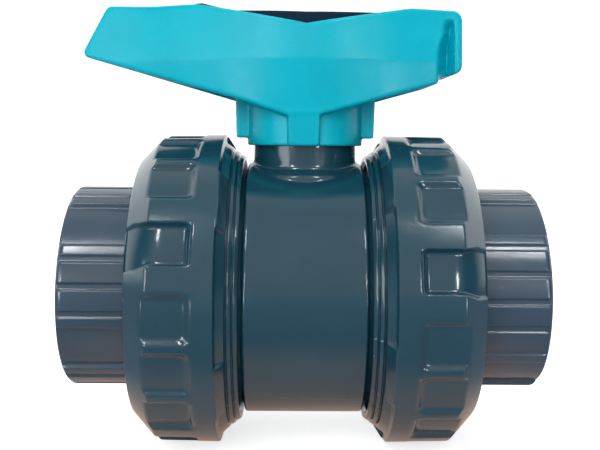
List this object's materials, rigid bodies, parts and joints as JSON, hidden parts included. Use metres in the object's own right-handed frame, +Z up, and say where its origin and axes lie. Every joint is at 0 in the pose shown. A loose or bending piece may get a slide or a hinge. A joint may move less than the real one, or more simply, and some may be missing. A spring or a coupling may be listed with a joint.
{
  "type": "union ball valve",
  "caption": "Quarter-turn plastic ball valve with castellated union nuts, ribbed socket ends for glued pipe and a winged lever handle with a lift-out key.",
  "frame": {"origin": "middle of the underside: on the ground plane that the two union nuts touch, straight below the ball's centre", "axes": "+X along the pipe towards the seat carrier's side, +Z up along the stem, the long wing of the handle points to -X when the valve is open"},
  "size_m": [0.17, 0.113, 0.1614],
  "materials": {
    "grey_pvc": "glossy moulded PVC",
    "teal_plastic": "satin moulded ABS",
    "black_plastic": "matte moulded",
    "ball_pvc": "polished",
    "white_ptfe": "turned PTFE",
    "black_rubber": "moulded rubber"
  },
  "bodies": {
    "body": {"valve_body": "grey_pvc", "ball_seat_left": "white_ptfe", "ball_seat_right": "white_ptfe", "seat_cushion_o_ring_left": "black_rubber", "seat_cushion_o_ring_right": "black_rubber", "seat_carrier": "grey_pvc", "seat_carrier_o_ring": "black_rubber"},
    "ball": {"ball": "ball_pvc"},
    "stem": {"stem": "grey_pvc", "stem_o_ring_lower": "black_rubber", "stem_o_ring_upper": "black_rubber", "stem_thrust_washer": "white_ptfe"},
    "handle": {"handle": "teal_plastic"},
    "key": {"key_insert": "black_plastic"},
    "connector_left": {"end_connector_left": "grey_pvc", "face_o_ring_left": "black_rubber"},
    "connector_right": {"end_connector_right": "grey_pvc", "face_o_ring_right": "black_rubber"},
    "nut_left": {"union_nut_left": "grey_pvc"},
    "nut_right": {"union_nut_right": "grey_pvc"}
  },
  "joints": [
    {"name": "handle_turn", "type": "hinge", "parent": "body", "child": "handle", "pos_m": [0, 0, 0.12], "axis": [0, 0, 1], "range_deg": [-90, 0]},
    {"name": "stem_turn", "type": "hinge", "parent": "body", "child": "stem", "pos_m": [0, 0, 0.11], "axis": [0, 0, 1], "range_deg": [-90, 0]},
    {"name": "ball_turn", "type": "hinge", "parent": "body", "child": "ball", "pos_m": [0, 0, 0.0565], "axis": [0, 0, 1], "range_deg": [-90, 0]},
    {"name": "key_lift", "type": "slide", "parent": "handle", "child": "key", "axis": [0, 0, 1], "range_m": [0, 0.035]},
    {"name": "nut_left_turn", "type": "hinge", "parent": "connector_left", "child": "nut_left", "pos_m": [-0.04, 0, 0.0565], "axis": [-1, 0, 0], "range_deg": [0, 1080]},
    {"name": "connector_left_draw", "type": "slide", "parent": "body", "child": "connector_left", "axis": [-1, 0, 0], "range_m": [0, 0.0151]},
    {"name": "nut_right_turn", "type": "hinge", "parent": "connector_right", "child": "nut_right", "pos_m": [0.04, 0, 0.0565], "axis": [1, 0, 0], "range_deg": [0, 1080]},
    {"name": "connector_right_draw", "type": "slide", "parent": "body", "child": "connector_right", "axis": [1, 0, 0], "range_m": [0, 0.0151]}
  ],
  "couplings": [
    {"joint": "stem_turn", "follows": "handle_turn", "ratio": 1},
    {"joint": "ball_turn", "follows": "handle_turn", "ratio": 1},
    {"joint": "connector_left_draw", "follows": "nut_left_turn", "m_per_rad": 0.00079577},
    {"joint": "connector_right_draw", "follows": "nut_right_turn", "m_per_rad": 0.00079577}
  ]
}
